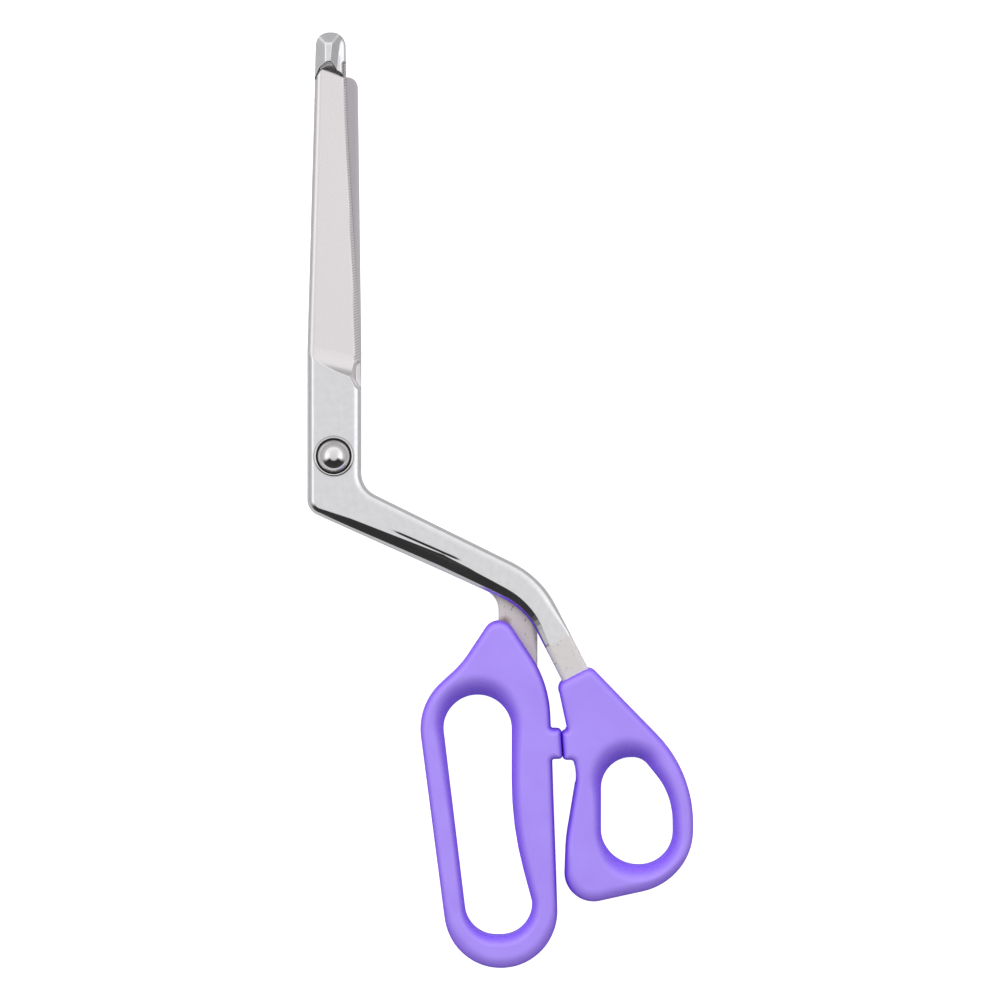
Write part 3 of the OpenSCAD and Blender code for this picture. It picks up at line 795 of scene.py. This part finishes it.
def turned_steel(name, light, dark, rough, size, groove=0.01):
    """Turned steel. Tumbled stainless has a low rough value and is mirror-like, zinc plate has
    a higher one and is satin; both have the faintest cloud. Within the groove's radius, in
    millimetres, the colour is painted near black as painted shade in the groove; the default
    radius is too small to show."""
    material, tree, at = start(name)
    cloud = noise(tree, at, size, 3)
    colour = blend(tree, cloud, linear(light), linear(dark), "RGBA")
    aside = add(tree, "ShaderNodeVectorMath", {
        0: at, 1: (PIVOT[0] * MM, PIVOT[1] * MM, 0)}, operation="SUBTRACT").outputs[0]
    flat = add(tree, "ShaderNodeVectorMath", {0: aside, 1: (1, 1, 0)}, operation="MULTIPLY")
    radius = add(tree, "ShaderNodeVectorMath", {0: flat.outputs[0]},
                 operation="LENGTH").outputs["Value"]
    # Painted shade: near black in a thin ring at the groove's radius
    painted_groove_shade = spread(tree, radius, (groove - 0.03) * MM, (groove + 0.03) * MM, 0.95, 0.0)
    colour = blend(tree, painted_groove_shade, colour, linear("#141213"), "RGBA")
    bump = add(tree, "ShaderNodeBump", {
        "Height": noise(tree, at, 0.4, 2), "Strength": 0.25, "Distance": 2e-6})
    finish_with(tree, add(tree, "ShaderNodeBsdfPrincipled", {
        "Base Color": colour, "Metallic": 1.0,
        "Roughness": spread(tree, cloud, 0.3, 0.7, rough * 0.8, rough * 1.3),
        "Normal": bump.outputs[0]}))
    return material


def moulded_plastic(name):
    """Polypropylene moulded in a spark-eroded tool: a lilac body under a satin skin whose
    fine, even grain breaks up the highlights."""
    material, tree, at = start(name)
    flow = noise(tree, at, 14, 2)
    speck = noise(tree, at, 0.7, 2)
    body = blend(tree, spread(tree, flow, 0.35, 0.65, 0, 1), linear("#a487f6"),
                 linear("#aa8efa"), "RGBA")
    # Painted shade: the sloping parts get a deeper, darker colour, more so the further the
    # surface tilts from upright
    upright = add(tree, "ShaderNodeSeparateXYZ", {
        "Vector": add(tree, "ShaderNodeNewGeometry").outputs["Normal"]}).outputs["Z"]
    body = blend(tree, spread(tree, upright, 0.45, 0.97, 0, 1), linear("#7743ee"), body, "RGBA")
    body = blend(tree, spread(tree, speck, 0.3, 0.7, 0, 0.25), body, linear("#ac93f2"), "RGBA")
    # Spark grain of about 0.45 mm
    grain = noise(tree, at, 0.45, 3)
    bump = add(tree, "ShaderNodeBump", {
        "Height": grain, "Strength": 0.35, "Distance": 0.05 * MM})
    finish_with(tree, add(tree, "ShaderNodeBsdfPrincipled", {
        "Base Color": body, "Roughness": spread(tree, grain, 0.3, 0.7, 0.4, 0.5), "IOR": 1.49,
        "Specular IOR Level": 0.55, "Normal": bump.outputs[0]}))
    return material


front_steel = forged_steel("buffed_and_ground_stainless", ("#d3d2d5", "#d9d8da"),
                           ("#d2ced0", "#d9d6d7"), ("#a9a5a9", "#b2aeb2"),
                           ("#d2cecd", "#e0dcdb"), None)
rear_steel = forged_steel("stoned_and_blasted_stainless", ("#c8c6c8", "#cecccf"),
                          ("#cecbcd", "#d4d1d3"), ("#aaa6ab", "#b5b0b5"),
                          ("#c2bab9", "#d8d1cf"),
                          (1.46 * MM, -39.8 * MM, REAR_TOP * MM))
bright_steel = turned_steel("tumbled_bright_stainless", "#dcdada", "#d2d0d0", 0.07, 3)
# The collar's steel, with painted shade in its groove at 5.73 mm
grooved_steel = turned_steel("tumbled_stainless_with_painted_groove_shade", "#dcdada", "#d2d0d0", 0.08, 3,
                             5.73)
plain_steel = turned_steel("plain_zinc_plated_steel", "#c4c2c0", "#b0aeac", 0.28, 1.2)
lilac_plastic = moulded_plastic("spark_textured_lilac_polypropylene")


def dress(piece, material, body, slot, *nodes):
    """Gives a new piece its material and its body, and hides the nodes that it stands for; the
    slot argument is not used.
    """
    piece.data.materials.append(material)
    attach(piece, body)
    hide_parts(*nodes)


dress(front_forging, front_steel, "front_half", "polished_steel", "front_blade")
dress(rear_forging, rear_steel, "rear_half", "ground_steel", "rear_blade")
dress(bolt, bright_steel, "rear_half", "bright_steel", "pivot_bolt")
dress(collar, grooved_steel, "rear_half", "bright_steel", "head_washer")
dress(finger_loop, lilac_plastic, "rear_half", "handle_plastic", "finger_handle")
dress(thumb_loop, lilac_plastic, "front_half", "handle_plastic", "thumb_handle")
for node_name in ("pivot_nut", "blade_washer", "spring_washer"):
    node_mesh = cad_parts[node_name].data
    node_mesh.materials.clear()
    node_mesh.materials.append(plain_steel)


# ---------------------------------------------------------------- studio

def pale_table():
    """Smooth white laminate. Seen directly it's plain white, as an evenly lit sweep is, because
    it glows for camera rays only; in mirrors and bounced light it's a pale grey."""
    material, tree, at = start("white_laminate_table")
    cloud = noise(tree, at, 120, 2)
    finish_with(tree, add(tree, "ShaderNodeBsdfPrincipled", {
        "Base Color": blend(tree, cloud, linear("#d8d8d8"), linear("#dedede"), "RGBA"),
        "Roughness": 0.7, "Emission Color": linear("#ffffff"),
        "Emission Strength": add(tree, "ShaderNodeLightPath").outputs["Is Camera Ray"]}))
    side = np.array([[-1, -1, 0], [1, -1, 0], [1, 1, 0], [-1, 1, 0]]) * 2.5
    mesh = bpy.data.meshes.new("table")
    mesh.from_pydata(side.tolist(), [], [[0, 1, 2, 3]])
    table = bpy.data.objects.new("table", mesh)
    bpy.context.scene.collection.objects.link(table)
    mesh.materials.append(material)


pale_table()

TENT_STRENGTH = 1.5
SENSOR_W = 36
# The camera stands this far above the handles' mid height, and sees this width there, in mm
CAMERA_AWAY = 1200
FIELD_W = 325


def heights_ramp(tree, height, stops):
    """Grey levels at heights from 0, the table, to 1, overhead."""
    node = add(tree, "ShaderNodeValToRGB", {"Fac": height})
    ramp_stops = node.color_ramp.elements
    for _ in stops[2:]:
        ramp_stops.new(0.5)
    for stop, (place, level) in zip(ramp_stops, stops):
        stop.position = place
        stop.color = (level, level, level, 1)
    return node.outputs["Color"]


# White tent. Its strength goes with the height of the direction: plain overhead, brightest on
# the shoulders at both sides, dimmer ahead and at the table, with a dark opening behind. The
# camera itself sees plain white in its place.
world = bpy.data.worlds.new("tent")
bpy.context.scene.world = world
world.use_nodes = True
sky = world.node_tree
sky.nodes.clear()
way = add(sky, "ShaderNodeSeparateXYZ", {
    "Vector": add(sky, "ShaderNodeTexCoord").outputs["Generated"]}).outputs
# The angle is measured from +Y, so the opening is where it is near half a turn
turned = add(sky, "ShaderNodeMath", {0: way["X"], 1: way["Y"]}, operation="ARCTAN2").outputs[0]
turned = add(sky, "ShaderNodeMath", {0: turned}, operation="ABSOLUTE").outputs[0]
opening = add(sky, "ShaderNodeMapRange", {
    "Value": turned, "From Min": math.radians(100), "From Max": math.radians(128),
    "To Min": 0.0, "To Max": 1.0}, interpolation_type="SMOOTHSTEP").outputs[0]
ahead = add(sky, "ShaderNodeMapRange", {
    "Value": turned, "From Min": math.radians(75), "From Max": math.radians(35),
    "To Min": 0.0, "To Max": 1.0}, interpolation_type="SMOOTHSTEP").outputs[0]
front = heights_ramp(sky, way["Z"], [(0.0, 0.34), (0.45, 0.48), (0.62, 0.84), (0.85, 0.74),
                                     (1.0, 0.66)])
lit = heights_ramp(sky, way["Z"], [(0.0, 0.34), (0.2, 0.42), (0.48, 0.5), (0.62, 0.95),
                                   (0.82, 1.0), (0.93, 0.72), (1.0, 0.66)])
unlit = heights_ramp(sky, way["Z"], [(0.0, 0.62), (0.14, 0.58), (0.22, 0.04), (0.86, 0.025),
                                     (0.94, 0.6), (1.0, 0.66)])
tone = blend(sky, opening, blend(sky, ahead, lit, front, "RGBA"), unlit, "RGBA")
tent = add(sky, "ShaderNodeBackground", {"Color": tone, "Strength": TENT_STRENGTH})
seen = add(sky, "ShaderNodeBackground", {"Color": (1, 1, 1, 1), "Strength": 1.0})
ray = add(sky, "ShaderNodeLightPath").outputs["Is Camera Ray"]
add(sky, "ShaderNodeOutputWorld", {"Surface": add(sky, "ShaderNodeMixShader", {
    0: ray, 1: tent.outputs[0], 2: seen.outputs[0]}).outputs[0]})


def soft_box(name, place, power, size):
    """Square soft light at a place in metres, aimed at the middle of the table."""
    data = bpy.data.lights.new(name, "AREA")
    data.energy = power
    data.size = size
    light = bpy.data.objects.new(name, data)
    light.location = place
    away = np.array(place)
    light.rotation_euler = (math.atan2(math.hypot(away[0], away[1]), away[2]), 0,
                            math.atan2(away[0], -away[1]))
    # The tent alone shows in mirrors; the lamp only adds light on matt surfaces
    light.visible_glossy = False
    bpy.context.scene.collection.objects.link(light)


KEY_WATTS = 9.0
KEY_SIZE = 1.3
soft_box("key", (-0.5, 0.9, 1.0), KEY_WATTS, KEY_SIZE)

scene = bpy.context.scene
scene.view_settings.view_transform = "Standard"
scene.view_settings.look = "None"
camera_data = bpy.data.cameras.new("overhead")
camera_data.sensor_width = SENSOR_W
camera_data.lens = SENSOR_W * CAMERA_AWAY / FIELD_W
camera_data.clip_start = 0.05
camera_data.clip_end = 20
camera = bpy.data.objects.new("overhead", camera_data)
camera.location = (0, 0, CAMERA_AWAY * MM + HANDLE_T / 2 * MM)
scene.collection.objects.link(camera)
scene.camera = camera
